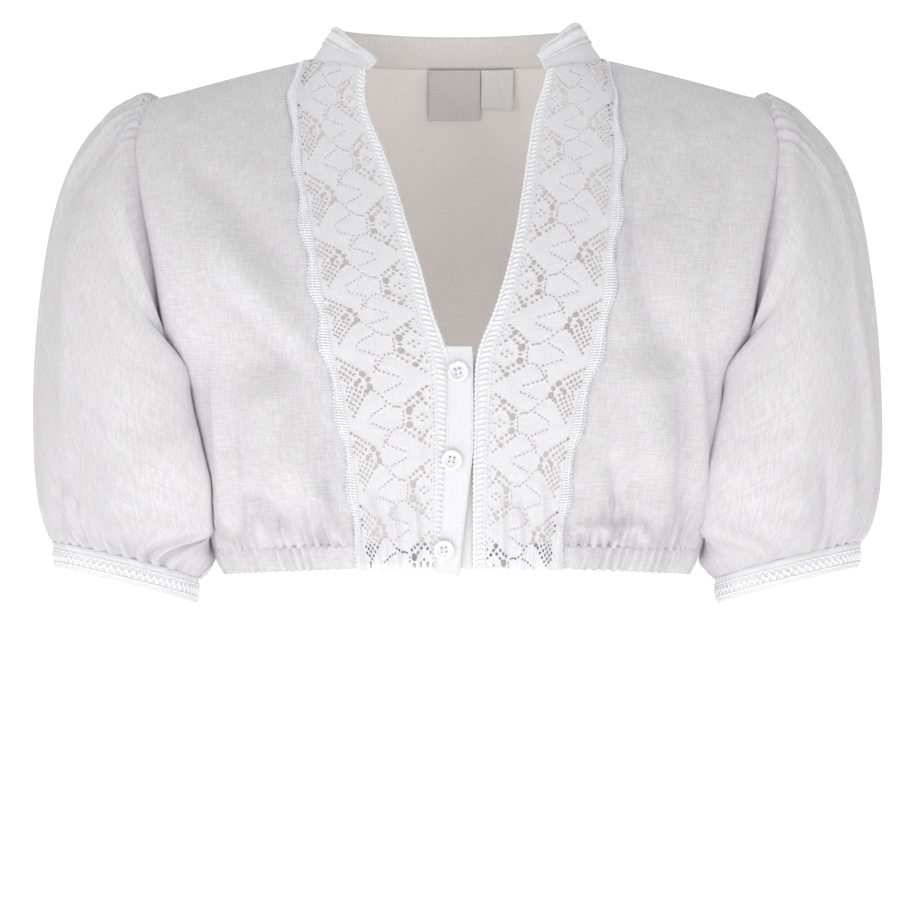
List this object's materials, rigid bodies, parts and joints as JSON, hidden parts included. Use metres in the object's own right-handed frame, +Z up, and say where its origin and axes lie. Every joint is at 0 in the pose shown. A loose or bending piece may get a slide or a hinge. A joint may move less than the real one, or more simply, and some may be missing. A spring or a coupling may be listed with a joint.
{
  "type": "dirndl blouse",
  "caption": "Cropped dirndl blouse with puff sleeves, V neck edged with wide lace bands, low stand collar, narrow button strip and elastic hem, in its hollow worn form.",
  "frame": {"origin": "middle of the neck base, level with the neck ends of the shoulder seams", "axes": "+X to the viewer's right across the front, +Y to the back, +Z up"},
  "size_m": [0.5272, 0.2335, 0.3594],
  "materials": {
    "linen": "white plain-weave linen, slightly slubby, soft and matt",
    "lace": "white cotton bobbin lace, matt, dense clothwork with open net",
    "braid": "white cotton braid with loops and scallops, matt",
    "label": "plain grey satin label tape, no print",
    "care_label": "plain white label tape, no print",
    "button": "pearly white, glossy"
  },
  "bodies": {
    "root": {"back": "linen", "front_left": "linen", "front_right": "linen", "hem_back": "linen", "hem_front_left": "linen", "hem_front_right": "linen", "lace_left": "lace", "lace_right": "lace", "placket": "linen", "under_placket": "linen", "button_1": "button", "button_2": "button", "button_3": "button", "collar_stand": "linen", "collar_trim": "braid", "sleeve_left": "linen", "cuff_left": "linen", "cuff_trim_left": "braid", "sleeve_right": "linen", "cuff_right": "linen", "cuff_trim_right": "braid", "label_main": "label", "label_care": "care_label"}
  },
  "joints": []
}
